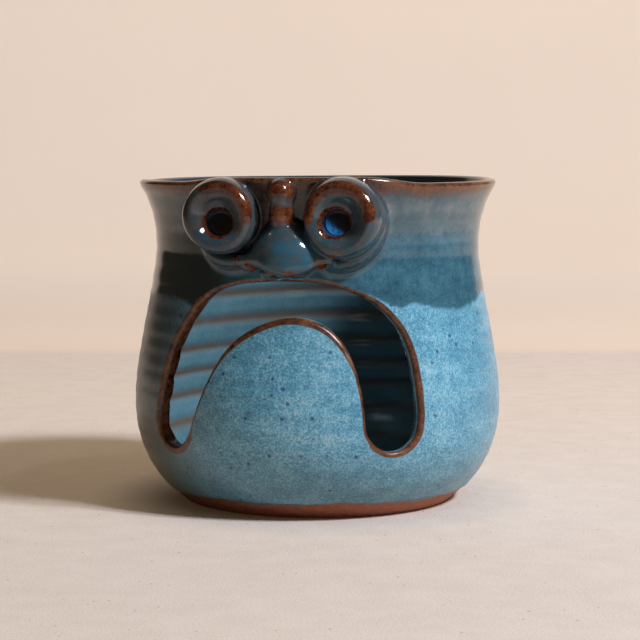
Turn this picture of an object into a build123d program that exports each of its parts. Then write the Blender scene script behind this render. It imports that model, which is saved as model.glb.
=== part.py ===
"""A wheel-thrown stoneware yarn bowl with a grumpy face, in mm.

The frame: +Z is up, the pot's axis is the Z axis, the foot stands on z = 0 and
the face looks along -Y. Angles go round the pot from the front, positive
towards +X. Each piece of clay is its own named part; the pieces meet face to
face where the maker scored them together.
"""

import os
from math import cos, radians, sin, tan

from build123d import *

os.makedirs("parts", exist_ok=True)

# The thrown pot
rim_height = 108.0
lip_radius = 60.7
lip_width = 3.8
lip_height = 105.8
neck_radius = 55.0
neck_height = 87.0
belly_radius = 62.5
belly_height = 33.0
foot_radius = 47.0
wall = 4.6
floor = 6.5
floor_radius = 34.0
bare_band = 4.4
glaze = 0.4
foot_recess_radius = 39.0
foot_recess = 1.5
ring_count = 10
ring_depth = 0.4
ring_tool_radius = 5.0

# The frowning slot, cut square through the wall
slot_top = 77.0
slot_left_bottom = 22.4
slot_right_bottom = 22.9
tongue_top = 66.0
slot_edge_round = 1.1

# The eyes: balls pressed onto the neck, each with a dish and a pupil hole
eye_reach = 62.5
eye_back = 9.0
left_eye_angle = -16.6
left_eye_turn = 3.5
left_eye_height = 98.0
left_eye_radius = 12.0
right_eye_angle = 20.0
right_eye_turn = -3.0
right_eye_height = 97.7
right_eye_radius = 12.6
pupil_radius = 4.1
pupil_seat = 2.6
pool_level = 2.0
pool_tilt = 25.0

# The rolls of clay under the eyes, from the outer end to the end by the nose
bag_stand_offs = (0.4, 1.4, 2.4, 3.2, 3.4)
bag_halves = (0.8, 1.8, 2.6, 3.0, 2.2)
bag_depths = (11.5, 9.8, 8.2, 8.0, 8.0)
bag_half_depths = (3.4, 5.0, 6.0, 6.0, 5.0)

# The knob between the brows, the nose and the lip, by where they sit on the pot
knob_angle = 1.6
knob_radius = 4.4
bridge_radius = 3.6
nose_angle = 2.2
nose_rim_radius = 1.7
nostril_radius = 2.7
lip_pad_radius = 2.6


def at(angle, reach, height):
    """A point by its angle round the pot, its distance from the axis and its height."""
    return (reach * sin(radians(angle)), -reach * cos(radians(angle)), height)


# The pot's outside, filled: the face's clay is pressed against this
with BuildPart() as pot_outside:
    with BuildSketch(Plane.XZ):
        with BuildLine():
            band_top = (foot_radius + 3.9, bare_band)
            glaze_edge = (foot_radius + 3.9 + glaze, bare_band + 0.1)
            lip_outside = (lip_radius - 0.1, lip_height)
            crest = (lip_radius - lip_width / 2, rim_height)
            Polyline(
                (0, rim_height),
                (0, foot_recess),
                (foot_recess_radius - 2, foot_recess),
                (foot_recess_radius, 0),
                (foot_radius - 0.8, 0),
                (foot_radius, 0.8),
            )
            Spline((foot_radius, 0.8), band_top, tangents=((0.55, 1), (0.8, 1)))
            Line(band_top, glaze_edge)
            Spline(
                glaze_edge,
                (59.0, 16.4),
                (belly_radius, belly_height),
                (59.6, 56.5),
                (neck_radius, neck_height),
                lip_outside,
                tangents=((0.8, 1), (0.5, 1)),
            )
            ThreePointArc(lip_outside, (lip_radius - 0.5, rim_height - 0.7), crest)
            Line(crest, (0, rim_height))
        make_face()
    revolve(axis=Axis.Z)

# The hollow inside, down to a flat floor with a wide sweep up into the wall
with BuildPart() as hollow:
    with BuildSketch(Plane.XZ):
        with BuildLine():
            lip_inside = (lip_radius - lip_width - 0.2, lip_height)
            Line((0, floor), (floor_radius, floor))
            inner_wall = Spline(
                (floor_radius, floor),
                (48.5, 12.0),
                (belly_radius - wall, belly_height),
                (59.6 - wall, 56.5),
                (neck_radius - wall, neck_height),
                lip_inside,
                tangents=((1, 0), (0.5, 1)),
            )
            ThreePointArc(lip_inside, (lip_radius - lip_width + 0.5, rim_height - 0.7), crest)
            Polyline(crest, (crest[0], rim_height + 5), (0, rim_height + 5), (0, floor))
        make_face()
    revolve(axis=Axis.Z)

# Finger grooves from throwing, evenly spaced up the inside wall. Each groove's
# tool is set back from the wall so that only the groove's depth is cut.
groove_centres = []
for i in range(ring_count):
    t = 0.2 + 0.68 * i / (ring_count - 1)
    along = inner_wall % t
    set_back = ring_tool_radius - ring_depth
    centre = inner_wall @ t + Vector(-along.Y, along.X) * set_back
    groove_centres.append((centre.X, centre.Y))


def slot_outline(depth):
    """The slot's outline on the plane that far in front of the axis.

    The slot is cut square to the wall, so every point keeps its height and
    its angle round the pot at every depth.
    """

    def on_plane(angle, height):
        return (depth * tan(radians(angle)), height)

    left_leg = on_plane(-44.2, 31)
    right_leg = on_plane(43.6, 31.5)
    tongue_right = on_plane(26.8, 32)
    tongue_left = on_plane(-29.2, 29)
    up, down = (0, 1), (0, -1)
    down_and_left = (-0.5 * depth / neck_radius, -1)
    Spline(
        left_leg,
        on_plane(-41, 49),
        on_plane(-29, 69.5),
        on_plane(-0.5, slot_top),
        on_plane(30, 70.5),
        on_plane(42, 54),
        right_leg,
        tangents=(up, down),
    )
    ThreePointArc(right_leg, on_plane(35.3, slot_right_bottom), tongue_right)
    Spline(
        tongue_right,
        on_plane(23.9, 51),
        on_plane(12.9, 64.4),
        on_plane(1.5, tongue_top),
        on_plane(-9.1, 62),
        on_plane(-21.1, 49),
        tongue_left,
        tangents=(up, down_and_left),
    )
    ThreePointArc(tongue_left, on_plane(-37.2, slot_left_bottom), left_leg)


slot_inside = 30.0
slot_outside = 75.0
with BuildPart() as slot:
    with BuildSketch(Plane.XZ.offset(slot_inside)):
        with BuildLine():
            slot_outline(slot_inside)
        make_face()
    with BuildSketch(Plane.XZ.offset(slot_outside)):
        with BuildLine():
            slot_outline(slot_outside)
        make_face()
    loft(ruled=True)

with BuildPart() as pot_body:
    add(pot_outside.part)
    add(hollow.part, mode=Mode.SUBTRACT)
    thrown_edges = pot_body.edges()
    add(slot.part, mode=Mode.SUBTRACT)
    # the maker's damp sponge softened the cut, inside and out
    cut_edges = [e for e in pot_body.edges() - thrown_edges if e.length > 2 * wall]
    fillet(cut_edges, radius=slot_edge_round)
    with BuildSketch(Plane.XZ):
        with Locations(*groove_centres):
            Circle(ring_tool_radius)
    revolve(axis=Axis.Z, mode=Mode.SUBTRACT)


def eye_frame(angle, turn, height):
    """The eye's own plane: X across the eye, Y up it, Z out of the face."""
    outward = (sin(radians(turn)), -cos(radians(turn)), 0)
    across = (cos(radians(turn)), sin(radians(turn)), 0)
    return Plane(at(angle, eye_reach, height), x_dir=across, z_dir=outward)


def eye(frame, radius, pupil):
    """A ball of clay with a dished front and a pupil hole pushed into it."""
    k = radius / 12.0
    through_axis = Plane(frame.origin, x_dir=frame.x_dir, z_dir=-frame.y_dir)
    with BuildPart() as ball:
        with BuildSketch(through_axis):
            with BuildLine():
                Polyline((0, 3.2 * k), (0, -eye_back), (0.66 * radius, -eye_back))
                Spline(
                    (0.66 * radius, -eye_back),
                    (radius, 0),
                    (11.3 * k, 4.1 * k),
                    (9.6 * k, 6.9 * k),
                    (7.3 * k, 5.9 * k),
                    (4.3 * k, 3.9 * k),
                    (0, 3.2 * k),
                    tangents=((0.75, 0.66), (-1, 0)),
                )
            make_face()
        revolve(axis=Axis(frame.origin, frame.z_dir))
        with Locations(Plane(pupil, x_dir=frame.x_dir, z_dir=frame.z_dir)):
            Sphere(pupil_radius, mode=Mode.SUBTRACT)
            Cylinder(
                pupil_radius,
                8,
                align=(Align.CENTER, Align.CENTER, Align.MIN),
                mode=Mode.SUBTRACT,
            )
        add(pot_outside.part, mode=Mode.SUBTRACT)
    return ball


def pool(frame, pupil):
    """The bead of blue glaze that ran to the low side of a pupil hole."""
    tilt = radians(pool_tilt)
    outward = frame.z_dir * cos(tilt) + frame.y_dir * sin(tilt)
    surface = pupil - outward * pool_level
    with BuildPart() as bead:
        with Locations(pupil):
            Sphere(pupil_radius)
        split(bisect_by=Plane(surface, z_dir=outward), keep=Keep.BOTTOM)
    return bead


left_frame = eye_frame(left_eye_angle, left_eye_turn, left_eye_height)
left_pupil = left_frame.from_local_coords(Vector(0, -2.0, pupil_seat))
left_eye = eye(left_frame, left_eye_radius, left_pupil)
left_pupil_glaze = pool(left_frame, left_pupil)

right_frame = eye_frame(right_eye_angle, right_eye_turn, right_eye_height)
right_pupil = right_frame.from_local_coords(Vector(-1.8, -1.4, pupil_seat))
right_eye = eye(right_frame, right_eye_radius, right_pupil)
right_pupil_glaze = pool(right_frame, right_pupil)


def pebble(centre, long_way, half_length, radius):
    """A small rolled lump of clay: an oval turned about its long way."""
    axis = Vector(*long_way).normalized()
    across = axis.cross(Vector(0.3, -1, 0.2)).normalized()
    with BuildPart() as lump:
        with BuildSketch(Plane(centre, x_dir=across, z_dir=across.cross(axis))):
            with BuildLine():
                EllipticalCenterArc((0, 0), radius, half_length, start_angle=-90, arc_size=180)
                Line((0, half_length), (0, -half_length))
            make_face()
        revolve(axis=Axis(centre, axis))
    return lump


# The pinched knob between the eyes, two lumps one above the other
upper_lump = pebble(at(knob_angle, 60.8, 105.4), (0.06, 0, 1), 4.6, knob_radius)
lower_lump = pebble(at(knob_angle, 60.2, 98.4), (0.06, 0, 1), 4.4, bridge_radius)
with BuildPart() as brow_knob:
    add(upper_lump.part)
    add(lower_lump.part)
    for other in (pot_outside, left_eye, right_eye):
        add(other.part, mode=Mode.SUBTRACT)

# The nose: a wedge that swells from the bridge to the wings
with BuildPart() as nose_wedge:
    for height, reach, half_width, half_depth in (
        (97.0, 58.0, 3.2, 4.2),
        (93.0, 58.5, 4.4, 6.2),
        (88.5, 58.0, 7.6, 9.2),
        (85.0, 57.2, 12.0, 10.6),
        (83.2, 57.0, 12.4, 10.2),
    ):
        with BuildSketch(Plane(at(nose_angle, reach, height))):
            Ellipse(half_width, half_depth)
    loft()

# its rolled lower rim, which dips at the tip and lifts towards the wings
left_wing = at(-10.6, 59.0, 83.9)
right_wing = at(14.8, 59.0, 84.5)
with BuildPart() as nose:
    add(nose_wedge.part)
    with BuildLine():
        rim_line = Spline(
            left_wing,
            at(-5.6, 63.0, 84.3),
            at(-0.9, 65.6, 83.2),
            at(4.0, 66.2, 82.5),
            at(9.5, 64.8, 83.4),
            right_wing,
        )
    with BuildSketch(Plane(rim_line @ 0, z_dir=rim_line % 0)):
        Circle(nose_rim_radius)
    sweep()
    with Locations(left_wing, right_wing):
        Sphere(nose_rim_radius)
    for other in (pot_outside, left_eye, right_eye, brow_knob):
        add(other.part, mode=Mode.SUBTRACT)


def eye_bag(frame, radius, angles):
    """A crescent roll under an eye, thickest towards the nose.

    The angles go round the eye from its right; the roll starts at the first.
    """
    with BuildPart() as bag:
        for i, angle in enumerate(angles):
            out = frame.x_dir * cos(radians(angle)) + frame.y_dir * sin(radians(angle))
            centre = frame.origin + out * (radius + bag_stand_offs[i])
            centre -= frame.z_dir * bag_depths[i]
            with BuildSketch(Plane(centre, x_dir=out, z_dir=out.cross(frame.z_dir))):
                Ellipse(bag_halves[i], bag_half_depths[i])
        loft()
        for other in (pot_outside, left_eye, right_eye, nose):
            add(other.part, mode=Mode.SUBTRACT)
    return bag


left_eye_bag = eye_bag(left_frame, left_eye_radius, (-145, -120, -95, -72, -55))
right_eye_bag = eye_bag(right_frame, right_eye_radius, (-35, -60, -85, -108, -125))

# Two small balls tucked under the ends of the nose's wings
face_so_far = (pot_outside, nose, left_eye_bag, right_eye_bag)
with BuildPart() as left_nostril:
    with Locations(at(-8.3, 57.5, 81.8)):
        Sphere(nostril_radius)
    for other in face_so_far:
        add(other.part, mode=Mode.SUBTRACT)
with BuildPart() as right_nostril:
    with Locations(at(12.9, 57.5, 82.1)):
        Sphere(nostril_radius)
    for other in face_so_far:
        add(other.part, mode=Mode.SUBTRACT)

def clay_roll(start, end, radius):
    """A short straight roll of clay with round ends."""
    along = Vector(*end) - Vector(*start)
    with BuildPart() as roll:
        with Locations(Plane(start, z_dir=along)):
            Cylinder(radius, along.length, align=(Align.CENTER, Align.CENTER, Align.MIN))
        with Locations(start, end):
            Sphere(radius)
    return roll


# The two-lobed lip between the nose and the slot
left_roll = clay_roll(at(-4.4, 56.5, 79.9), at(0.2, 56.7, 79.9), lip_pad_radius)
right_roll = clay_roll(at(4.0, 56.7, 80.0), at(8.6, 56.5, 80.1), lip_pad_radius)
with BuildPart() as upper_lip:
    add(left_roll.part)
    add(right_roll.part)
    for other in (*face_so_far, left_nostril, right_nostril):
        add(other.part, mode=Mode.SUBTRACT)

PIECES = {
    "pot_body": pot_body,
    "left_eye": left_eye,
    "right_eye": right_eye,
    "left_pupil_glaze": left_pupil_glaze,
    "right_pupil_glaze": right_pupil_glaze,
    "left_eye_bag": left_eye_bag,
    "right_eye_bag": right_eye_bag,
    "brow_knob": brow_knob,
    "nose": nose,
    "left_nostril": left_nostril,
    "right_nostril": right_nostril,
    "upper_lip": upper_lip,
}
for name, piece in PIECES.items():
    piece.part.label = name
    export_step(piece.part, f"parts/{name}.step")
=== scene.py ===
import math

import bpy
import numpy as np
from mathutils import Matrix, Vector


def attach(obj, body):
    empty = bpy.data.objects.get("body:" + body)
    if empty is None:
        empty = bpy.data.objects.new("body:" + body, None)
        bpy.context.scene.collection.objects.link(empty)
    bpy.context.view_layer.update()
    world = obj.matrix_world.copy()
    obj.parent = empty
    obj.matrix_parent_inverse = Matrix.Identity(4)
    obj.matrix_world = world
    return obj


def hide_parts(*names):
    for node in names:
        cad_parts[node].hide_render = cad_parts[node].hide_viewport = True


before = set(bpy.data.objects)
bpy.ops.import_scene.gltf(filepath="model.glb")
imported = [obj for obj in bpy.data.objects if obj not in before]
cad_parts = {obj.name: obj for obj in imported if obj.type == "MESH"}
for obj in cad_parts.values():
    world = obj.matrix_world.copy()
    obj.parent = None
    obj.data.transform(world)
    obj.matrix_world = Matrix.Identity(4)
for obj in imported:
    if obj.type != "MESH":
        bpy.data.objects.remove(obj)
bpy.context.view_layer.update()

MM = 0.001
TAU = 2 * math.pi


# ---------------------------------------------------------------- small maths
def step(x, width=1.0):
    """0 below 0, 1 above width, smooth between."""
    t = np.clip(x / width, 0, 1)
    return t * t * (3 - 2 * t)


def smin(a, b, k):
    """The smaller of two, rounded over where they differ by less than k."""
    h = np.clip(0.5 + 0.5 * (b - a) / k, 0, 1)
    return b + (a - b) * h - k * h * (1 - h)


def smax(a, b, k):
    return -smin(-a, -b, k)


def curve(points, gap, closed=False):
    """A smooth line through the points, sampled about every gap mm."""
    p = np.array(points, float)
    if closed:
        p = np.vstack([p[-2:], p, p[:3]])
    t = np.r_[0, np.cumsum(np.linalg.norm(np.diff(p, axis=0), axis=1))]
    d = np.diff(t)[:, None]
    s = np.diff(p, axis=0) / d
    m = np.vstack([s[:1], (s[:-1] * d[1:] + s[1:] * d[:-1]) / (d[1:] + d[:-1]), s[-1:]])
    lo, hi = (t[2], t[-3]) if closed else (t[0], t[-1])
    q = np.linspace(lo, hi, max(2, int((hi - lo) / gap)))
    i = np.clip(np.searchsorted(t, q, "right") - 1, 0, len(t) - 2)
    w = t[i + 1] - t[i]
    u = ((q - t[i]) / w)[:, None]
    w = w[:, None]
    return (
        (2 * u**3 - 3 * u**2 + 1) * p[i]
        + (u**3 - 2 * u**2 + u) * w * m[i]
        + (3 * u**2 - 2 * u**3) * p[i + 1]
        + (u**3 - u**2) * w * m[i + 1]
    )


class Field:
    """The signed distance to a closed outline, kept on a grid and read smoothly."""

    def __init__(self, outline, lo, hi, gap):
        self.lo, self.gap = np.array(lo, float), gap
        n = np.ceil((np.array(hi) - lo) / gap).astype(int) + 1
        self.n = n
        gx = lo[0] + gap * np.arange(n[0])
        gy = lo[1] + gap * np.arange(n[1])
        x, y = [v.ravel() for v in np.meshgrid(gx, gy, indexing="ij")]
        a = np.asarray(outline)
        b = np.roll(a, -1, axis=0)
        best = np.full(len(x), 1e9)
        odd = np.zeros(len(x), bool)
        for (ax, ay), (bx, by) in zip(a, b):
            ex, ey = bx - ax, by - ay
            if ex * ex + ey * ey < 1e-12:
                continue
            t = np.clip(((x - ax) * ex + (y - ay) * ey) / (ex * ex + ey * ey), 0, 1)
            best = np.minimum(best, (x - ax - t * ex) ** 2 + (y - ay - t * ey) ** 2)
            if ay != by:
                cross = (ay > y) != (by > y)
                odd ^= cross & (x < ax + (y - ay) * ex / ey)
        d = np.sqrt(best)
        self.v = np.where(odd, -d, d).reshape(n)

    def __call__(self, x, y):
        fx = np.clip((x - self.lo[0]) / self.gap, 1, self.n[0] - 2.001)
        fy = np.clip((y - self.lo[1]) / self.gap, 1, self.n[1] - 2.001)
        i, j = fx.astype(int), fy.astype(int)
        u, v = fx - i, fy - j

        def weights(t):
            return (
                -0.5 * t + t**2 - 0.5 * t**3,
                1 - 2.5 * t**2 + 1.5 * t**3,
                0.5 * t + 2 * t**2 - 1.5 * t**3,
                -0.5 * t**2 + 0.5 * t**3,
            )

        wx, wy = weights(u), weights(v)
        flat, width = self.v.ravel(), self.n[1]
        out = np.zeros(len(x))
        for a in range(4):
            row = (i + a - 1) * width + j - 1
            for b in range(4):
                out += wx[a] * wy[b] * flat[row + b]
        return out


# ------------------------------------------------------------ the thrown pot
OUTSIDE = [
    (46.9, 0.7), (50.76, 4.1), (55.29, 9.2), (59.23, 16.4), (62.0, 26.7), (62.4, 33),
    (62.1, 40), (59.6, 56.5), (56.4, 73.9), (54.96, 86.3), (55.98, 95.5), (58.53, 102.7),
    (60.3, 105.9), (60.6, 106.9), (60.0, 107.75), (58.8, 108.0), (57.5, 107.5),
]
INSIDE = [
    (57.5, 107.5), (56.7, 106.3), (54.4, 102.2), (51.5, 95), (50.3, 86.3), (51.7, 73.9),
    (54.9, 56.5), (57.4, 40), (57.8, 33), (57.2, 26.7), (54.2, 17), (48.8, 10.8),
    (41.5, 7.4), (33, 6.5), (16, 6.3), (0, 6.2), (-7, 6.2),
]
UNDERSIDE = [(-7, 1.5), (36.6, 1.4), (38.4, 0.9), (39.6, 0.1), (40.5, 0), (45.6, 0), (46.5, 0.2)]

outer_line = curve(OUTSIDE, 0.5)
inner_line = curve(INSIDE, 0.5)
pot_field = Field(
    np.vstack([outer_line, inner_line[1:], UNDERSIDE]), (-10, -6), (72, 118), 0.4
)
LIP_HEIGHT = 108
HEIGHTS = np.linspace(0, LIP_HEIGHT, 2 * LIP_HEIGHT + 1)
lip_row = outer_line[:, 1].argmax()
OUTER_RADII = np.interp(HEIGHTS, outer_line[:lip_row, 1], outer_line[:lip_row, 0])
INNER_RADII = np.interp(HEIGHTS, inner_line[::-1, 1], inner_line[::-1, 0])


def outer_radius(z):
    return np.interp(z, HEIGHTS, OUTER_RADII)


def middle_radius(z):
    return np.interp(z, HEIGHTS, (OUTER_RADII + INNER_RADII) / 2)


# the slot, unrolled: mm round the pot at its mean radius, and height
SLOT_R = 60.0
SLOT_SOFT = 1.7
RING_PITCH = 8.8
SLOT = [
    (-46.6, 30.5), (-45, 38), (-43, 48.5), (-40.3, 56.2), (-36.2, 62.6), (-30.8, 69),
    (-24.4, 73.1), (-16.2, 75.7), (-5.8, 76.9), (4.8, 77.1), (15.2, 76.5), (23.8, 74.2),
    (31.6, 70.5), (37, 66.2), (41.2, 61), (44, 54), (45.2, 46), (45.8, 38), (45.8, 32.2),
    (44.6, 27.3), (41.3, 24.1), (36.1, 23.2), (31.6, 25.3), (28.6, 29), (27.8, 34),
    (27.4, 39), (26.4, 44.8), (24.8, 51), (22.2, 56.6), (18.3, 61.3), (13.4, 64.4),
    (8.3, 65.8), (2.6, 66), (-3.3, 64.7), (-9.3, 62.1), (-14.5, 58.7), (-18.8, 54.4),
    (-22.2, 49), (-25.1, 43.2), (-27.3, 38), (-29.3, 33), (-31.6, 27.8), (-34.8, 24.1),
    (-39.7, 22.5), (-44.4, 24.6),
]
slot_field = Field(curve(SLOT, 0.5, closed=True), (-75, -20), (75, 130), 0.5)


def rim_lift(angle):
    """How far the lip rises or dips round the pot, in mm."""
    a = np.degrees(angle)
    brow = step(a + 36, 20) * step(48 - a, 22)
    side = step(a + 95, 30) * step(-14 - a, 24)
    return 2.1 * brow + 0.9 * side + 0.4 * np.sin(angle - 0.2) + 0.15 * np.sin(3 * angle + 1)


def lifted(angle, z):
    """How far the wall is carried up or down with the lip at this height."""
    return rim_lift(angle) * step(z - 88, 19)


def ring_turn(angle, z):
    """How many turns of the thrower's spiral lie below this height."""
    return z / RING_PITCH + angle / TAU + 0.08 * np.sin(z / 6.0)


def glaze_edge(angle):
    """The height at which the glaze stops above the bare foot."""
    return (
        4.9 + 0.5 * np.sin(3 * angle + 0.8) + 0.4 * np.sin(7 * angle - 1.1)
        + 0.25 * np.sin(17 * angle + 2) + 0.15 * np.sin(41 * angle)
    )


def wall(p):
    """Signed distances in mm: the pot's wall with its slot, and the slot alone."""
    rho = np.hypot(p[:, 0], p[:, 1])
    angle = np.arctan2(p[:, 0], -p[:, 1])
    z = p[:, 2]
    inner = 1 - step(rho - middle_radius(z) + 0.9, 1.8)
    # outside: a wandering wall, faint throwing lines, and glaze that stops above the foot
    edge = z - glaze_edge(angle)
    glaze = 0.45 * (step(edge, 0.5) - 1) + 0.22 * np.exp(-(((edge - 0.9) / 0.7) ** 2))
    out = (
        0.22 * np.sin(2 * angle + 1) + 0.12 * np.sin(3 * angle - 2 + z / 40)
        + 0.05 * np.sin(z * TAU / 5.7 + angle + 0.8 * np.sin(z / 9))
        + glaze * step(12 - z, 4)
    )
    # inside: the spiral left by the thrower's fingers
    turn = ring_turn(angle, z)
    ridge = np.cos(TAU * turn) + 0.3 * np.cos(2 * TAU * turn)
    rings = 0.24 * ridge * step(z - 9, 8) * step(101 - z, 8)
    moved = rho - (1 - inner) * out - inner * (rings + 0.2 * np.sin(2 * angle))
    uncut = pot_field(moved, z - lifted(angle, z))
    cut = slot_field(angle * SLOT_R, z) * np.maximum(rho, 20) / SLOT_R
    return smax(uncut, -cut, SLOT_SOFT), cut


# ---------------------------------------------------------- the applied face
def at(angle, reach, z):
    """The point at an angle to the front, a reach from the axis and a height."""
    a = math.radians(angle)
    return np.array([reach * math.sin(a), -reach * math.cos(a), z])


class Eye:
    """A ball of clay with a dished front and a pupil hole, drawn for a radius of 12 mm."""

    profile = curve(
        [(0, 2.3), (2.5, 2.8), (4.6, 4.1), (6.4, 5.7), (7.9, 6.8), (9.3, 7.1),
         (10.6, 6.3), (11.6, 4.1), (12, 0.8), (11.4, -4), (9.8, -7.5), (7.5, -9.6), (0, -10)],
        0.4,
    )
    field = Field(np.vstack([profile, [(-6, -10), (-6, 2.5)]]), (-3, -14), (20, 14), 0.3)

    def __init__(self, angle, reach, z, turn, radius, pupil, seed):
        t = math.radians(turn)
        self.c = at(angle, reach, z)  # the middle
        self.u = np.array([math.cos(t), math.sin(t), 0])  # across
        self.n = np.array([math.sin(t), -math.cos(t), 0])  # the way it looks
        self.k = radius / 12
        self.pupil = pupil  # across and up from the middle, depth of its seat, radius
        self.seed = seed

    def local(self, p):
        """Across, up and out from the eye's middle, in mm."""
        q = p - self.c
        return q @ self.u, q[:, 2], q @ self.n

    def __call__(self, p):
        a, b, h = self.local(p)
        phi = np.arctan2(b, a)
        s = self.seed
        # a hand-rolled ball is never quite round, and its rim never quite level
        lump = 1 + 0.014 * np.sin(2 * phi + s) + 0.01 * np.sin(3 * phi + 2 * s)
        lift = 0.25 * np.sin(phi + 1.7 * s) + 0.12 * np.sin(4 * phi + s)
        r = np.hypot(a, b) * lump / self.k
        ball = self.field(r, (h - lift * step(h, 5)) / self.k) * self.k
        px, pz, seat, radius = self.pupil
        deep = np.maximum(h - seat, 0)
        hole = np.sqrt((a - px) ** 2 + (b - pz) ** 2 + (h - seat - deep) ** 2) - radius
        return smax(ball, -hole, 1.1)


left_eye = Eye(-16.6, 62.5, 98.0, 3.5, 12.0, (0.0, -2.0, 2.4, 4.05), 0.6)
right_eye = Eye(20.0, 62.5, 97.7, -3.0, 12.6, (-1.8, -1.4, 2.6, 4.2), 2.1)


def chain(p, centres, radii):
    """A roll of clay through the centres, with a radius at each."""
    c = np.array(centres, float)
    best = np.full(len(p), 1e9)
    for i in range(len(c) - 1):
        e = c[i + 1] - c[i]
        t = np.clip((p - c[i]) @ e / (e @ e), 0, 1)
        d = np.linalg.norm(p - c[i] - t[:, None] * e, axis=1)
        best = np.minimum(best, d - radii[i] - t * (radii[i + 1] - radii[i]))
    return best


def bag(eye, angles, stand, half, deep):
    """The crescent roll round an eye, thicker towards the nose and flattened on the wall."""
    flat = 0.5
    t = np.linspace(0, len(angles) - 1, 2 * len(angles))
    ang, off, wide, back = [
        np.interp(t, range(len(angles)), v) for v in (np.radians(angles), stand, half, deep)
    ]
    reach = 12 * eye.k + off
    centres = np.c_[reach * np.cos(ang), reach * np.sin(ang), back * flat]

    def sdf(p):
        a, b, h = eye.local(p)
        return chain(np.c_[a, b, h * flat], centres, wide)

    return sdf


left_bag = bag(
    left_eye, (-150, -128, -108, -90, -72, -55), (-2.6, -0.8, 1.0, 2.2, 3.0, 3.2),
    (1.4, 2.1, 2.7, 3.0, 3.1, 2.2), (-9.4, -9, -8.6, -8.2, -7.8, -7.8),
)
right_bag = bag(
    right_eye, (52, 25, 0, -30, -60, -85, -108, -125),
    (-4.2, -4.4, -4.0, -3.0, -1.2, 1.2, 2.9, 3.2),
    (2.0, 2.6, 2.9, 2.9, 2.9, 3.0, 3.1, 2.2),
    (-9, -9, -9, -9, -8.6, -8, -7.8, -7.8),
)


def oval(p, centre, radii, turn=0.0):
    """An egg of clay, turned round the upright by so many degrees."""
    t = math.radians(turn)
    q = p - centre
    q = np.c_[
        q[:, 0] * math.cos(t) + q[:, 1] * math.sin(t),
        -q[:, 0] * math.sin(t) + q[:, 1] * math.cos(t),
        q[:, 2],
    ]
    r = np.array(radii, float)
    k0 = np.linalg.norm(q / r, axis=1)
    k1 = np.linalg.norm(q / r**2, axis=1)
    return k0 * (k0 - 1) / np.maximum(k1, 1e-6)


def knob(p):
    """Two pinched lobes, one on the other."""
    top = oval(p, at(1.5, 60.4, 105.4), (4.3, 5.0, 4.5))
    low = oval(p, at(1.6, 60.3, 98.4), (4.0, 4.9, 5.0))
    return smin(top, low, 2.2)


# the wedge of the nose: heights, half widths and how far it stands out
NOSE_Z = [79, 81, 83, 85, 87, 89.5, 92, 95, 98.5]
NOSE_HALF = [11, 12.4, 13.4, 13.2, 12.0, 9.8, 7.1, 4.9, 3.6]
NOSE_FRONT = [10.4, 11.2, 11.5, 11.4, 10.9, 9.9, 8.6, 7.0, 5.4]


def nose(p):
    """A wedge with a full front and a rolled lower rim."""
    x, y, z = p.T
    round_off = 2.05
    middle = 2.2 + 0.11 * np.clip(96 - z, 0, 16)
    half = np.interp(z, NOSE_Z, NOSE_HALF)
    front = np.interp(z, NOSE_Z, NOSE_FRONT)
    across = np.abs((x - middle) / half)
    out = np.abs((y + 56.3) / front)
    level = (across**round_off + out**round_off) ** (1 / round_off)
    wedge = (level - 1) * np.minimum(half, front) * 0.8
    wedge = smax(wedge, z - 97.5, 3)
    floor = np.minimum(80.0 + 0.042 * (x - 4.6) ** 2, 83.8)
    wedge = smax(wedge, floor - z, 2.0)
    rim = chain(
        p,
        [at(-11.2, 59.3, 83.9), at(-6.2, 62.6, 84.2), at(-1, 65.0, 83.0),
         at(4.0, 66.0, 81.8), at(9.3, 64.4, 83.0), at(14.9, 59.6, 84.4)],
        [2.0, 1.6, 1.7, 1.9, 1.7, 1.9],
    )
    bulb = oval(p, at(3.2, 57.6, 87.2), (10.4, 9.8, 7.9))
    return smin(smin(wedge, bulb, 3.0), rim, 2.2)


def left_nostril(p):
    return oval(p, at(-8.9, 58.4, 82.3), (2.9, 2.7, 2.1), -9)


def right_nostril(p):
    return oval(p, at(13.2, 58.4, 82.9), (2.8, 2.6, 1.7), 12)


def lip(p):
    left = oval(p, at(-1.9, 56.4, 79.9), (3.9, 2.2, 1.7), -3)
    right = oval(p, at(5.2, 56.4, 80.1), (3.7, 2.1, 1.6), 6)
    return smin(left, right, 1.0)


# lowest first: a later piece lies over the ones before it where they meet
FACE = {
    "left_eye_bag": left_bag,
    "right_eye_bag": right_bag,
    "upper_lip": lip,
    "left_nostril": left_nostril,
    "right_nostril": right_nostril,
    "nose": nose,
    "brow_knob": knob,
    "left_eye": left_eye,
    "right_eye": right_eye,
}
# how softly each piece is smoothed into the clay under it, in mm
BLEND = {
    "left_eye_bag": 2.6, "right_eye_bag": 2.6, "upper_lip": 1.4, "left_nostril": 1.0,
    "right_nostril": 1.0, "nose": 1.3, "brow_knob": 1.1, "left_eye": 1.2, "right_eye": 1.2,
}


FAR = 30.0
SKIN = 0.03


def measure(p):
    """Signed distances: the whole clay, the pot's wall, each face piece and the slot."""
    pot, cut = wall(p)
    near = (p[:, 1] < -38) & (p[:, 2] > 72) & (np.abs(p[:, 0]) < 45)
    q = p[near]
    behind = middle_radius(q[:, 2]) + 0.4 - np.hypot(q[:, 0], q[:, 1])
    whole = pot.copy()
    parts = {}
    total = whole[near]
    for name, sdf in FACE.items():
        d = np.full(len(p), FAR)
        d[near] = smax(sdf(q), behind, 0.8)
        parts[name] = d
        total = smin(total, d[near], BLEND[name])
    whole[near] = total
    return whole, pot, parts, cut


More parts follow.
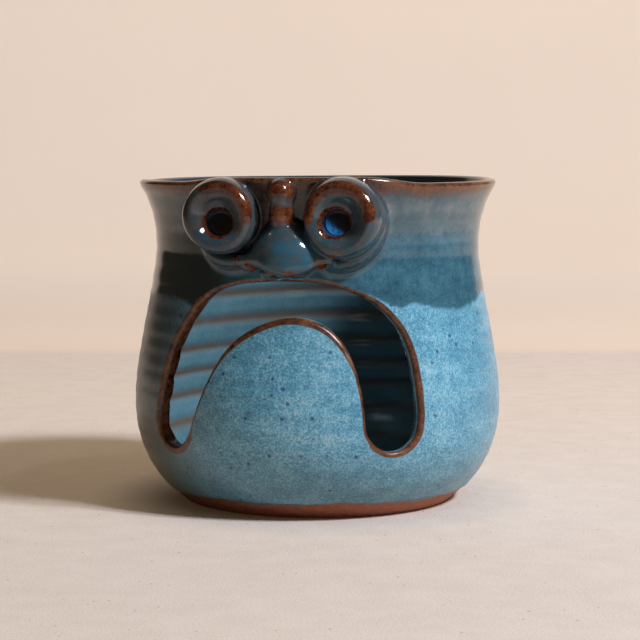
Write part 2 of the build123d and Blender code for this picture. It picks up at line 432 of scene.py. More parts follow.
def piece_field(name):
    """The closed solid of one piece: its share of the whole surface.

    Where a neighbour's share begins the piece sinks by SKIN, so two never lie in one face.
    """
    order = list(FACE)

    def field(p):
        whole, pot, parts, _ = measure(p)
        if name == "pot_body":
            face = np.min([parts[n] for n in order], axis=0)
            under = SKIN * step(pot - face + 0.4, 0.4)
            return np.maximum(whole + under, pot - np.maximum(face, 0) - 0.8)
        own = parts[name]
        i = order.index(name)
        over = [parts[n] for n in order[i + 1:]] or [np.full(len(p), FAR)]
        below = [parts[n] for n in order[:i]] + [pot]
        over, below = np.min(over, axis=0), np.min(below, axis=0)
        under = SKIN * step((own - over) / 2 + 0.4, 0.4)
        rest = np.maximum((own - over) / 2 - 0.5, (own - below) / 2)
        return np.maximum(whole + under, rest)

    return field


def whole_field(p):
    return measure(p)[0]


# where the teal band ends over the milky blue: degrees from the front, and height
TEAL_LOW = [
    (-180, 70), (-120, 73), (-80, 70), (-48, 71), (-38, 70), (-25, 66), (-9, 67), (-4, 75),
    (0, 78.5), (7, 78.5), (11, 73), (16, 69), (24, 70), (29, 73), (34, 70.4), (39.5, 68.2),
    (45, 70), (51, 68.6), (58, 67.4), (66, 66.8), (75, 68), (87, 70.7), (120, 73), (150, 69),
    (180, 70),
]
# brown spots under the nose: degrees from the front, height, size and strength
SPOTS = [
    (-7.6, 82.6, 2.2, 0.9), (13.6, 82.9, 2.0, 0.9), (-1.4, 79.9, 1.9, 0.9), (5.1, 80.2, 1.7, 0.9),
    (-11.5, 84.2, 1.6, 0.6), (16.2, 85.6, 1.6, 0.7), (-13.6, 85.6, 1.6, 0.7),
]


def rust(p, parts, cut):
    """Where the glaze ran thin over a raised edge and broke brown, from 0 to 1."""
    angle = np.degrees(np.arctan2(p[:, 0], -p[:, 1]))
    rho = np.hypot(p[:, 0], p[:, 1])
    z = p[:, 2]
    face = np.min(list(parts.values()), axis=0) < 0.6
    total = np.zeros(len(p))
    # the crest of each eye over part of its turn, and the edge of its pupil
    for eye, middle, span in ((left_eye, 56, 95), (right_eye, 92, 125)):
        a, b, h = eye.local(p)
        r, phi = np.hypot(a, b) / eye.k, np.degrees(np.arctan2(b, a))
        off = np.abs((phi - middle + 180) % 360 - 180)
        crest = np.exp(-(((r - 9.3) / 2.0) ** 4)) * step(span - off, 55) * step(h - 1.5, 2)
        px, pz, _, radius = eye.pupil
        rim = np.exp(-(((np.hypot(a - px, b - pz) - radius - 0.5) / 0.75) ** 2))
        total = np.maximum(total, np.maximum(crest, 0.75 * rim * step(h, 2) * (r < 9)))
    # both lobes of the knob, and the bridge of the nose
    own = (parts["brow_knob"] < 0.5) & (parts["brow_knob"] < parts["nose"])
    lobes = 0.58 + 0.24 * np.cos(TAU * (z - 98.6) / 8.0)
    total = np.where(own, np.maximum(total, lobes), total)
    bridge = (parts["nose"] < 0.5) * step(z - 93.5, 4) * 0.8
    total = np.maximum(total, bridge)
    for turn, height, size, most in SPOTS:
        d2 = ((angle - turn) * 1.05) ** 2 + (z - height) ** 2
        total = np.maximum(total, most * face * np.exp(-d2 / size**2))
    # the edge of the slot, right through the wall on its left leg
    left_leg = (angle < -28) & (angle > -60)
    outer = step(rho - outer_radius(z) + np.where(left_leg, 6.5, 1.9), 1.0)
    tongue = (np.abs(angle) < 28) & (z < 67.5)
    broad = np.where(tongue, 0.55 + 0.9 * step(z - 46, 14), 1.15 - 0.75 * step(z - 70, 5))
    broad = np.where(left_leg & (z < 27), broad + 0.9, broad)
    slot = (1 - step(cut - broad, 1.2)) * outer
    return np.clip(np.maximum(total, np.where(face, 0, slot)), 0, 1)


def pupil_depth(p):
    """How far the points lie inside an eye's pupil, 0 outside to 1 on its wall."""
    total = np.zeros(len(p))
    for eye in (left_eye, right_eye):
        a, b, h = eye.local(p)
        px, pz, _, radius = eye.pupil
        inside = 1 - step(np.hypot(a - px, b - pz) - radius + 0.35, 0.5)
        total = np.maximum(total, inside * (np.abs(h) < 8))
    return total


# four corners of a cube, enough to read a slope from
CORNERS = np.array([(1, -1, -1), (-1, -1, 1), (-1, 1, -1), (1, 1, 1)], float)


def slope(field, p, h=0.05):
    """The field's value and its gradient at the points."""
    g, v = np.zeros_like(p), np.zeros(len(p))
    for c in CORNERS:
        d = field(p + h * c)
        g += d[:, None] * c
        v += d / 4
    return v, g / (4 * h)


def surface_nets(f, periodic=False):
    """Vertices in grid steps, quads and cells of the zero surface of a sampled field."""
    if periodic:
        f = np.concatenate([f, f[:1]], axis=0)
    inside = f < 0
    shape = np.array(f.shape) - 1
    total = np.zeros((*shape, 3))
    count = np.zeros(shape)
    cuts = []
    for axis in range(3):
        lo = [slice(None)] * 3
        hi = [slice(None)] * 3
        lo[axis], hi[axis] = slice(0, -1), slice(1, None)
        lo, hi = tuple(lo), tuple(hi)
        crossing = inside[lo] != inside[hi]
        gap = np.where(crossing, f[lo] - f[hi], 1)
        t = np.where(crossing, f[lo] / gap, 0)
        cuts.append((crossing, inside[lo]))
        b, c = [k for k in range(3) if k != axis]
        for db in (0, 1):
            for dc in (0, 1):
                cell = [slice(None)] * 3
                cell[b] = slice(db, db + shape[b])
                cell[c] = slice(dc, dc + shape[c])
                hit = crossing[tuple(cell)]
                count += hit
                total[..., axis] += np.where(hit, t[tuple(cell)], 0)
                total[..., b] += hit * db
                total[..., c] += hit * dc
    used = count > 0
    number = np.full(shape, -1)
    number[used] = np.arange(used.sum())
    cells = np.argwhere(used)
    verts = cells + total[used] / count[used][:, None]
    quads = []
    for axis in range(3):
        crossing, first_in = cuts[axis]
        b, c = [(1, 2), (2, 0), (0, 1)][axis]
        idx = np.argwhere(crossing)
        flip = first_in[crossing]
        ok = np.ones(len(idx), bool)
        for k in (b, c):
            if periodic and k == 0:
                ok &= idx[:, k] < shape[k]
            else:
                ok &= (idx[:, k] > 0) & (idx[:, k] < shape[k])
        idx, flip = idx[ok], flip[ok]
        ring = []
        for db, dc in ((-1, -1), (0, -1), (0, 0), (-1, 0)):
            cell = idx.copy()
            cell[:, b] += db
            cell[:, c] += dc
            if periodic:
                cell[:, 0] %= shape[0]
            ring.append(number[cell[:, 0], cell[:, 1], cell[:, 2]])
        q = np.stack(ring, axis=1)
        q[~flip] = q[~flip][:, ::-1]
        quads.append(q)
    return verts, np.vstack(quads), cells


def settle(p, quads, field, rounds, ease):
    """Evens the mesh out along the surface and brings it back onto it."""
    edges = np.vstack([quads[:, [i, (i + 1) % 4]] for i in range(4)])
    a, b = edges.T
    n = len(p)
    links = np.bincount(a, minlength=n) + np.bincount(b, minlength=n)
    for k in range(rounds):
        v, g = slope(field, p)
        size = np.maximum((g * g).sum(1), 0.05)
        p = p - g * np.clip(v / size, -0.6, 0.6)[:, None]
        if k < rounds - 2:
            mean = np.stack(
                [np.bincount(a, p[b, i], n) + np.bincount(b, p[a, i], n) for i in range(3)], 1
            ) / np.maximum(links, 1)[:, None]
            pull = mean - p
            unit = g / np.sqrt(size)[:, None]
            pull -= unit * (pull * unit).sum(1)[:, None]
            p = p + ease * pull
    return p


def make_mesh(name, p, quads, extra=(), own=None):
    """A Blender object in the shared frame, smooth-shaded by the clay's true slope."""
    whole, _, parts, cut = measure(p)
    normal = slope(own or whole_field, p)[1]
    normal /= np.maximum(np.linalg.norm(normal, axis=1), 1e-9)[:, None]
    mesh = bpy.data.meshes.new(name + "_glazed")
    faces = [tuple(q) for q in quads.tolist()] + [tuple(t) for t in extra]
    mesh.from_pydata((p * MM).tolist(), [], faces)
    mesh.validate()
    mesh.shade_smooth()
    h = 1.1  # how far to the side the bend of the surface is felt for, in mm
    side = np.cross(normal, [0.36, 0.48, 0.8])
    side /= np.maximum(np.linalg.norm(side, axis=1), 1e-9)[:, None]
    other = np.cross(normal, side)
    bend = sum(whole_field(p + h * d) for d in (side, -side, other, -other)) - 4 * whole
    angle = np.arctan2(p[:, 0], -p[:, 1])
    x, y, z = p.T
    inner = 1 - step(np.hypot(x, y) - middle_radius(z) + 0.3, 0.6)
    off = np.abs((ring_turn(angle, z) + 0.5) % 1 - 0.5) * RING_PITCH
    # what the glaze needs to know at each point
    facts = {
        "bend": bend / (h * h),
        "inner": inner,
        "ring": inner * np.exp(-((off / 1.5) ** 2)) * step(z - 9, 6) * step(94 - z, 8),
        "bare": step(glaze_edge(angle) - z + 0.15, 0.3) * (1 - inner),
        "lip": z - lifted(angle, z),
        "brow": step(angle + 0.40, 0.1) * step(0.63 - angle, 0.1) * step(z - 84, 10),
        "rust": rust(p, parts, cut),
        "pupil": pupil_depth(p),
        "tip": step(92.5 - z, 4) * step(z - 80, 3) * step(-y - 62, 3)
        * step(x + 3, 5) * step(15 - x, 4),
        "low": z - np.interp(np.degrees(angle), *zip(*TEAL_LOW)),
    }
    for key, values in facts.items():
        layer = mesh.attributes.new(key, "FLOAT", "POINT")
        layer.data.foreach_set("value", np.asarray(values, np.float32))
    mesh.normals_split_custom_set_from_vertices(normal.tolist())
    obj = bpy.data.objects.new(name + "_glazed", mesh)
    bpy.context.scene.collection.objects.link(obj)
    return obj


def net_in_box(field, axes, gap):
    """The zero surface of a field inside a box of evenly spaced points, in mm."""
    x, y, z = np.meshgrid(*axes, indexing="ij")
    f = field(np.c_[x.ravel(), y.ravel(), z.ravel()]).reshape(x.shape)
    verts, quads, _ = surface_nets(f)
    return np.array([axis[0] for axis in axes]) + verts * gap, quads


def face_piece(name, lo, hi, gap):
    """Meshes one applied piece inside a box, in mm."""
    field = piece_field(name)
    axes = [np.arange(a, b + gap, gap) for a, b in zip(lo, hi)]
    p, quads = net_in_box(field, axes, gap)
    p = settle(p, quads, field, 5, 0.35)
    return make_mesh(name, p, quads)


def pot_piece(fine):
    """Meshes the pot on a grid that turns round its axis, finest near the slot."""
    field = piece_field("pot_body")
    # turns in degrees, close together in front and wider apart behind; then heights and radii
    front = np.arange(-54, 54.01, 0.58 * fine)
    back = np.linspace(54, 306, int(252 / (2.0 * fine)) + 1)[1:-1]
    turn = np.radians(np.r_[front, back])
    z = np.r_[
        np.arange(-1.2, 7.4, 0.55 * fine), np.arange(7.6, 20, 1.2 * fine),
        np.arange(20.5, 112.5, 0.62 * fine),
    ]
    r = np.r_[0.0, 6, 14, 22, 30, 35, np.arange(37, 67.5, 0.8 * fine)]
    t, zz, rr = np.meshgrid(turn, z, r, indexing="ij")
    p = np.c_[(rr * np.sin(t)).ravel(), (-rr * np.cos(t)).ravel(), zz.ravel()]
    f = np.concatenate([field(part) for part in np.array_split(p, 12)]).reshape(t.shape)
    verts, quads, cells = surface_nets(f, periodic=True)
    full = np.r_[turn, turn[0] + TAU]
    a = np.interp(verts[:, 0], np.arange(len(full)), full)
    h = np.interp(verts[:, 1], np.arange(len(z)), z)
    d = np.interp(verts[:, 2], np.arange(len(r)), r)
    p = np.c_[d * np.sin(a), -d * np.cos(a), h]
    p = settle(p, quads, field, 5, 0.3)
    # close the two small discs left open round the axis, in the floor and under it
    fans = []
    centre = np.where(cells[:, 2] == 0)[0]
    top = p[centre, 2] > 4
    for above in (True, False):
        ring = centre[top == above]
        ring = ring[np.argsort(cells[ring, 0])]
        hub = len(p)
        p = np.vstack([p, [0, 0, p[ring, 2].mean()]])
        pairs = zip(ring.tolist(), np.roll(ring, -1).tolist())
        fans += [(i, j, hub) if not above else (j, i, hub) for i, j in pairs]
    return make_mesh("pot_body_clay", p, quads, fans)


fine = 1.0
clay_pieces = {"pot_body": pot_piece(fine)}
# a box round each applied piece: two corners, in mm
BOXES = {
    "left_eye": ((-33, -72, 84), (-3, -46, 112)),
    "right_eye": ((6, -72, 83), (37, -44, 112)),
    "left_eye_bag": ((-36, -66, 75), (-5, -42, 101)),
    "right_eye_bag": ((8, -66, 75), (40, -38, 112)),
    "upper_lip": ((-9, -64, 74), (14, -50, 84)),
    "left_nostril": ((-15, -64, 77), (-4, -51, 87)),
    "right_nostril": ((8, -64, 77), (20, -50, 88)),
    "nose": ((-17, -71, 78), (22, -49, 100)),
    "brow_knob": ((-6, -69, 91), (10, -51, 113)),
}
for name, (lo, hi) in BOXES.items():
    gap = 0.36 if "eye" in name or name in ("nose", "brow_knob") else 0.3
    clay_pieces[name] = face_piece(name, lo, hi, gap * fine)


def pool(eye):
    """Glaze that ran into the pupil and set there, tipped a little upwards."""
    px, pz, seat, radius = eye.pupil
    c, d = math.cos(math.radians(6)), math.sin(math.radians(6))

    def field(p):
        a, b, h = eye.local(p)
        a, b, h = a - px, b - pz, h - seat
        deep = np.maximum(h, 0)
        hole = np.sqrt(a * a + b * b + (h - deep) ** 2) - radius
        up, along = h * c + b * d, b * c - h * d
        edge = np.hypot(a, along) / radius
        level = up + 1.9 - 0.25 * edge**4
        return smax(hole - 0.25, level, 0.25)

    return field


def pool_piece(name, eye, gap, painted_light_most):
    """Meshes the bead of glaze in one pupil and marks where light is painted on it, at its lower left."""
    field = pool(eye)
    px, pz, seat, _ = eye.pupil
    middle = eye.c + eye.u * px + np.array([0, 0, pz]) + eye.n * (seat - 2)
    room = 5.6
    axes = [np.arange(a, a + 2 * room, gap) for a in middle - room]
    p, quads = net_in_box(field, axes, gap)
    p = settle(p, quads, field, 4, 0.3)
    obj = make_mesh(name, p, quads, own=field)
    a, b, _ = eye.local(p)
    # painted light: strongest at the lower left of the pupil
    lit = np.clip(0.5 - ((a - px) * 0.6 + (b - pz) * 0.8) / 6.0, 0, 1)
    layer = obj.data.attributes.new("lit", "FLOAT", "POINT")
    layer.data.foreach_set("value", (lit * painted_light_most).astype(np.float32))
    return obj


# how strong the painted light is in each pupil
POOLS = {"left_pupil_glaze": (left_eye, 0.45), "right_pupil_glaze": (right_eye, 1.0)}
for name, (eye, painted_light_most) in POOLS.items():
    clay_pieces[name] = pool_piece(name, eye, 0.24 * fine, painted_light_most)


# ------------------------------------------------------------------ materials
class Shader:
    """Short names for the nodes a material is made of. Lengths are in mm."""

    def __init__(self, name):
        self.material = bpy.data.materials.new(name)
        self.material.use_nodes = True
        self.tree = self.material.node_tree
        self.tree.nodes.clear()
        place = self.node("ShaderNodeTexCoord").outputs["Object"]
        self.mm = self.vector("MULTIPLY", place, (1000, 1000, 1000))
        split = self.node("ShaderNodeSeparateXYZ")
        self.plug(split.inputs[0], self.mm)
        self.x, self.y, self.z = split.outputs

    def node(self, kind, **settings):
        """A new node with these properties set."""
        n = self.tree.nodes.new(kind)
        for key, value in settings.items():
            setattr(n, key, value)
        return n

    def plug(self, socket, value):
        """Links a socket to another, or sets its plain value."""
        if isinstance(value, bpy.types.NodeSocket):
            self.tree.links.new(value, socket)
        else:
            socket.default_value = value

    def vector(self, what, a, b):
        """A sum or product of two vectors."""
        n = self.node("ShaderNodeVectorMath", operation=what)
        self.plug(n.inputs[0], a)
        self.plug(n.inputs[1], b)
        return n.outputs[0]

    def math(self, what, a, b=0.0, clamp=False):
        n = self.node("ShaderNodeMath", operation=what, use_clamp=clamp)
        self.plug(n.inputs[0], a)
        self.plug(n.inputs[1], b)
        return n.outputs[0]

    def add(self, *values):
        total = values[0]
        for v in values[1:]:
            total = self.math("ADD", total, v)
        return total

    def times(self, *values):
        total = values[0]
        for v in values[1:]:
            total = self.math("MULTIPLY", total, v)
        return total

    def less(self, value):
        return self.math("SUBTRACT", 1.0, value, clamp=True)

    def band(self, value, a, b, to_a=0.0, to_b=1.0):
        """Goes smoothly from to_a at a to to_b at b."""
        n = self.node("ShaderNodeMapRange", interpolation_type="SMOOTHSTEP")
        self.plug(n.inputs["Value"], value)
        if a > b:
            a, b, to_a, to_b = b, a, to_b, to_a
        for key, v in zip(("From Min", "From Max", "To Min", "To Max"), (a, b, to_a, to_b)):
            n.inputs[key].default_value = v
        return n.outputs[0]

    def noise(self, size, detail=4.0, rough=0.5, at=None, warp=0.0):
        """Cloudy noise from 0 to 1 about 0.5, with features of the given size."""
        n = self.node("ShaderNodeTexNoise")
        self.plug(n.inputs["Vector"], at or self.mm)
        n.inputs["Scale"].default_value = 1 / size
        n.inputs["Detail"].default_value = detail
        n.inputs["Roughness"].default_value = rough
        n.inputs["Distortion"].default_value = warp
        return n.outputs[0]

    def swing(self, size, amount, **more):
        """The same noise, centred on nothing and scaled to an amount."""
        return self.times(self.add(self.noise(size, **more), -0.5), 2 * amount)

    def cells(self, size):
        """Scattered cells of a size, with each one's distance and colour."""
        n = self.node("ShaderNodeTexVoronoi", feature="F1")
        self.plug(n.inputs["Vector"], self.mm)
        n.inputs["Scale"].default_value = 1 / size
        n.inputs["Randomness"].default_value = 1.0
        return n

    def dots(self, size, edge, core, few, many):
        """Round dots, edge and core in cell sizes, in the cells whose red passes few to many."""
        cells = self.cells(size)
        split = self.node("ShaderNodeSeparateColor")
        self.plug(split.inputs[0], cells.outputs["Color"])
        dot = self.band(cells.outputs["Distance"], edge, core)
        return self.times(dot, self.band(split.outputs[0], few, many))

    def mix(self, share, a, b):
        """Colour a at share 0, colour b at share 1."""
        n = self.node("ShaderNodeMix", data_type="RGBA", blend_type="MIX")
        self.plug(n.inputs[0], share)
        self.plug(n.inputs[6], (*a, 1.0) if isinstance(a, tuple) else a)
        self.plug(n.inputs[7], (*b, 1.0) if isinstance(b, tuple) else b)
        return n.outputs[2]

    def ramp(self, value, stops):
        """Colours at places from 0 to 1, smooth between."""
        n = self.node("ShaderNodeValToRGB")
        self.plug(n.inputs[0], value)
        e = n.color_ramp.elements
        for i, (place, colour) in enumerate(stops):
            item = e[i] if i < 2 else e.new(place)
            item.position = place
            item.color = (*colour, 1.0)
        return n.outputs[0]

    def fact(self, key):
        """One of the facts kept at each point of the mesh."""
        return self.node("ShaderNodeAttribute", attribute_name=key).outputs["Fac"]

    def bump(self, height, strength, distance, base=None):
        """A bumped normal, over another one if given."""
        n = self.node("ShaderNodeBump")
        n.inputs["Strength"].default_value = strength
        n.inputs["Distance"].default_value = distance * MM
        self.plug(n.inputs["Height"], height)
        if base:
            self.plug(n.inputs["Normal"], base)
        return n.outputs[0]

    def finish(self, colour, roughness, normal, **more):
        """Closes the material with one principled surface."""
        b = self.node("ShaderNodeBsdfPrincipled")
        self.plug(b.inputs["Base Color"], colour)
        self.plug(b.inputs["Roughness"], roughness)
        self.plug(b.inputs["Normal"], normal)
        for key, value in more.items():
            self.plug(b.inputs[key.replace("_", " ")], value)
        out = self.node("ShaderNodeOutputMaterial")
        self.tree.links.new(b.outputs[0], out.inputs[0])
        return self.material


TEAL = (0.036, 0.118, 0.170)
TOFFEE = (0.20, 0.090, 0.042)
POT_BROWN = [(0.022, 0.007, 0.004), (0.115, 0.042, 0.020), TOFFEE]
FACE_BROWN = [(0.016, 0.004, 0.002), (0.090, 0.024, 0.009), (0.155, 0.055, 0.024)]


def glaze(name, face):
    """The potter's two glazes: milky blue below, teal over brown above and on the face."""
    s = Shader(name)
    broad = s.swing(26, 1.0, detail=2)
    cloud = s.swing(6.5, 1.0, detail=5, rough=0.6)
    grain = s.noise(0.62, detail=3, rough=0.7)
    coarse = s.noise(1.9, detail=3, rough=0.6)
    dust = s.noise(0.35, detail=2)
    flat = s.vector("MULTIPLY", s.mm, (0.14, 0.14, 1.0))
    rings = s.swing(4.2, 1.0, detail=3, at=flat)

    # milky blue with pale and lavender grains and a few dark specks
    tone = s.add(s.times(cloud, 0.14), s.times(rings, 0.15), s.times(broad, 0.10),
                 s.times(grain, 1.25), s.times(coarse, 0.35), -0.30)
    blue = s.ramp(tone, [(0.30, (0.050, 0.185, 0.300)), (0.44, (0.090, 0.300, 0.435)),
                         (0.55, (0.135, 0.395, 0.545)), (0.74, (0.34, 0.56, 0.66))])
    flecks = s.cells(1.35)
    lilac = s.times(s.band(flecks.outputs["Distance"], 0.34, 0.14), s.band(dust, 0.42, 0.62))
    blue = s.mix(s.times(lilac, 0.45), blue, (0.26, 0.35, 0.55))
    dark = s.dots(4.4, 0.19, 0.09, 0.42, 0.48)
    blue = s.mix(s.times(dark, 0.85), blue, (0.016, 0.055, 0.19))

    # painted shade: greyer and darker to the left, the side turned from the light; and greyer low down
    drift = s.add(s.x, s.times(cloud, 3.0))
    painted_left_shade = s.band(drift, -12.0, -50.0)
    painted_shade_grey = s.mix(s.band(s.z, 20.0, 66.0), (0.062, 0.068, 0.060), (0.009, 0.014, 0.013))
    blue = s.mix(s.times(painted_left_shade, 0.95), blue, painted_shade_grey)
    blue = s.mix(s.band(s.add(s.z, s.times(cloud, 2.0)), 28.0, 6.0, 0.0, 0.4), blue, (0.105, 0.125, 0.110))

    # heights wander, so no zone has a ruled edge
    feather = s.add(
        s.times(cloud, 1.3), s.times(s.add(coarse, -0.5), 2.6), s.times(s.add(grain, -0.5), 2.0)
    )
    low = s.add(s.fact("low"), feather)
    lip = s.add(s.fact("lip"), feather)
    mottle = s.add(s.times(cloud, 0.3), s.times(grain, 0.6), s.times(coarse, 0.4), s.times(rings, 0.15))
    teal = s.ramp(mottle, [(0.25, (0.016, 0.062, 0.100)), (0.5, TEAL), (0.8, (0.075, 0.20, 0.26))])
    haze = s.add(
        s.times(cloud, 0.4), s.times(grain, 0.4), s.times(coarse, 0.3), s.times(rings, 0.3), 0.15
    )
    mauve = s.ramp(haze, [(0.2, (0.042, 0.088, 0.112)), (0.5, (0.082, 0.138, 0.165)),
                          (0.85, (0.19, 0.21, 0.215))])
    burnt = s.add(s.times(cloud, 0.3), s.times(grain, 0.5), s.times(coarse, 0.6), -0.05)
    brown = s.ramp(burnt, zip((0.34, 0.5, 0.68), FACE_BROWN if face else POT_BROWN))
    spark = s.dots(0.7, 0.30, 0.18, 0.80, 0.84)
    brown = s.mix(s.times(spark, 0.3 if face else 0.45), brown, (0.36, 0.25, 0.19))
    if face:
        # painted shade: on the face the brown darkens towards the left
        brown = s.mix(s.band(s.x, -4.0, -26.0, 0.0, 0.6), brown, (0.012, 0.004, 0.002))
    # painted shade: the teal and the mauve darker towards the left, away from the light
    teal = s.mix(s.band(drift, -5.0, -26.0), teal, (0.018, 0.030, 0.033))
    mauve = s.mix(s.times(s.band(s.x, -16.0, -46.0), 0.65), mauve, (0.052, 0.046, 0.040))
    outside = s.mix(s.band(low, -0.5, 0.9), blue, teal)
    outside = s.mix(s.band(s.add(s.z, s.times(feather, 0.8)), 90.6, 93.0), outside, mauve)
    outside = s.mix(s.times(s.band(lip, 102.3, 105.6), 0.95), outside, s.mix(0.5, brown, TOFFEE))

    # inside: the same blue, calmer, brown on the thrower's ridges, and painted shade darkening it to the
    # right
    calm = s.add(s.times(cloud, 0.14), s.times(rings, 0.15), s.times(grain, 0.45), 0.20)
    liner = s.ramp(calm, [(0.3, (0.070, 0.17, 0.215)), (0.5, (0.115, 0.245, 0.300)),
                          (0.75, (0.20, 0.36, 0.42))])
    ring = s.times(s.fact("ring"), s.band(cloud, -0.9, 0.1))
    liner = s.mix(s.times(ring, 0.85), liner, (0.145, 0.088, 0.048))
    liner = s.mix(s.band(lip, 91, 96), liner, (0.022, 0.055, 0.070))
    # painted shade: the inside darker to the right, where the wall shades it
    painted_inner_shade = s.band(s.add(s.times(s.x, 0.9), s.times(s.z, 0.12), s.times(cloud, 2.0)), 14.0, 32.0)
    liner = s.mix(s.times(painted_inner_shade, 0.9), liner, (0.006, 0.011, 0.014))
    inner = s.fact("inner")
    colour = s.mix(inner, outside, liner)
    if face:
        streak = s.noise(3.2, detail=5, rough=0.65, warp=0.8)
        runs = s.add(
            s.times(cloud, 0.12), s.times(grain, 0.12), s.times(streak, 0.85), s.times(broad, 0.2)
        )
        skin = s.ramp(runs, [(0.30, (0.014, 0.062, 0.110)), (0.44, (0.028, 0.066, 0.088)),
                             (0.56, (0.056, 0.070, 0.076)), (0.72, (0.095, 0.086, 0.084))])
        tip = s.times(s.fact("tip"), s.band(streak, 0.85, 0.25), 0.9)
        skin = s.mix(tip, skin, (0.026, 0.118, 0.182))
        # painted shade: the face skin darker towards the left
        skin = s.mix(s.band(s.x, -6.0, -34.0, 0.0, 0.62), skin, (0.013, 0.011, 0.008))
        colour = s.mix(s.less(inner), colour, skin)
    else:
        # painted shade on the pot's wall between and above the face pieces, under the lip
        painted_brow_shade = s.mix(0.45, brown, (0.012, 0.008, 0.007))
        colour = s.mix(s.times(s.fact("brow"), s.less(inner), 0.85), colour, painted_brow_shade)

    # the pupil walls: dark blue glaze, painted darker still as the shade in the hole
    pupil_glaze_and_shade = s.ramp(s.noise(1.4, detail=3), [(0.35, (0.006, 0.016, 0.035)), (0.65, (0.015, 0.05, 0.12))])
    colour = s.mix(s.fact("pupil"), colour, pupil_glaze_and_shade)

    # the glaze breaks brown over every edge and pools blue in every crease
    rough_edge = s.add(
        s.times(cloud, 0.35), s.times(s.add(grain, -0.5), 1.3), s.times(s.add(coarse, -0.5), 0.9)
    )
    breaks = s.band(s.add(s.fact("rust"), s.times(rough_edge, 0.28 if face else 0.5)), 0.32, 0.58)
    colour = s.mix(breaks, colour, brown)
    sharp = s.band(s.add(s.fact("bend"), s.times(rough_edge, 0.12)), 0.45, 0.75)
    colour = s.mix(s.times(sharp, 0.35 if face else 0.7), colour, brown)
    crease = s.band(s.fact("bend"), -0.10, -0.6)
    colour = s.mix(s.times(crease, 0.4 if face else 0.7), colour, (0.014, 0.040, 0.070))

    # the bare red clay of the foot, with a line of thin glaze above it
    bare = s.fact("bare")
    thin = s.times(s.band(s.add(s.z, s.times(cloud, 0.4)), 6.3, 5.0), s.less(inner))
    colour = s.mix(s.times(thin, 0.7), colour, (0.10, 0.075, 0.055))
    clay = s.ramp(s.noise(1.6, detail=8, rough=0.7),
                  [(0.3, (0.20, 0.058, 0.030)), (0.5, (0.29, 0.092, 0.048)), (0.7, (0.37, 0.135, 0.075))])
    # painted shade darkens the bare clay to the left, and painted light brightens it to the right
    clay = s.mix(s.band(s.x, -8.0, -46.0, 0.0, 0.6), clay, (0.05, 0.02, 0.012))
    clay = s.mix(s.band(s.x, 8.0, 50.0, 0.0, 0.5), clay, (0.52, 0.20, 0.11))
    colour = s.mix(bare, colour, clay)

    # glassy above, satin on the milky blue, dull on bare clay
    gloss = s.add(s.times(s.noise(9, detail=3), 0.12), s.times(dust, 0.05))
    satin = s.add(s.times(s.noise(3, detail=4), 0.20), 0.22)
    rough = s.node("ShaderNodeMix", data_type="FLOAT")
    s.plug(rough.inputs[0], s.times(s.band(low, 1.5, -1.5), s.less(inner)))
    s.plug(rough.inputs[2], gloss)
    s.plug(rough.inputs[3], satin)
    rough = rough.outputs[0]
    rough = s.add(s.times(rough, s.less(bare)), s.times(bare, 0.85))

    skin_bump = s.bump(s.noise(2.6, detail=2), 0.25, 0.12)
    grit = s.noise(0.55, detail=5, rough=0.7)
    grit_bump = s.bump(s.times(grit, s.add(s.times(bare, 1.0), 0.14)), 0.5, 0.30, base=skin_bump)
    return s.finish(colour, rough, grit_bump, Specular_IOR_Level=0.5)


def pool_glaze():
    """Thick clear blue glaze, with painted light: lightest at its lower left, where light would fall in.
    """
    s = Shader("pool_glaze")
    cloud = s.noise(1.2, detail=4)
    lit = s.add(s.fact("lit"), s.times(s.add(cloud, -0.5), 0.35))
    deep = s.ramp(lit, [(0.35, (0.004, 0.008, 0.014)), (0.58, (0.006, 0.026, 0.080)),
                        (0.78, (0.018, 0.12, 0.38)), (0.98, (0.05, 0.30, 0.66))])
    normal = s.bump(s.noise(1.2, detail=2), 0.2, 0.1)
    rough = s.times(s.noise(2, detail=3), 0.12)
    # painted light: the glaze glows at its lower left, standing in for the light that falls in from the
    # upper right
    painted_glow = s.times(s.band(s.fact("lit"), 0.66, 1.0, 0.0, 0.46), s.band(cloud, 0.35, 0.6, 0.35, 1.0))
    return s.finish(deep, rough, normal, Specular_IOR_Level=0.5,
                    Emission_Color=(0.03, 0.30, 0.85, 1.0), Emission_Strength=painted_glow)


pot_glaze = glaze("pot_glaze", False)
face_glaze = glaze("face_glaze", True)
finishes = {"pot_body": (pot_glaze, "glazed_pot")}
for name in FACE:
    finishes[name] = (face_glaze, "glazed_face")
blue_pool = pool_glaze()
for name in POOLS:
    finishes[name] = (blue_pool, "glaze_bead")
for name, (material, slot) in finishes.items():
    piece = clay_pieces[name]
    piece.data.materials.append(material)
    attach(piece, "root")
    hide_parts(name)


# ------------------------------------------------- the cloth, room and lights
CAMERA_TURN = math.radians(12.5)
AWAY = np.array([-math.sin(CAMERA_TURN), math.cos(CAMERA_TURN)])
SIDE = np.array([math.cos(CAMERA_TURN), math.sin(CAMERA_TURN)])


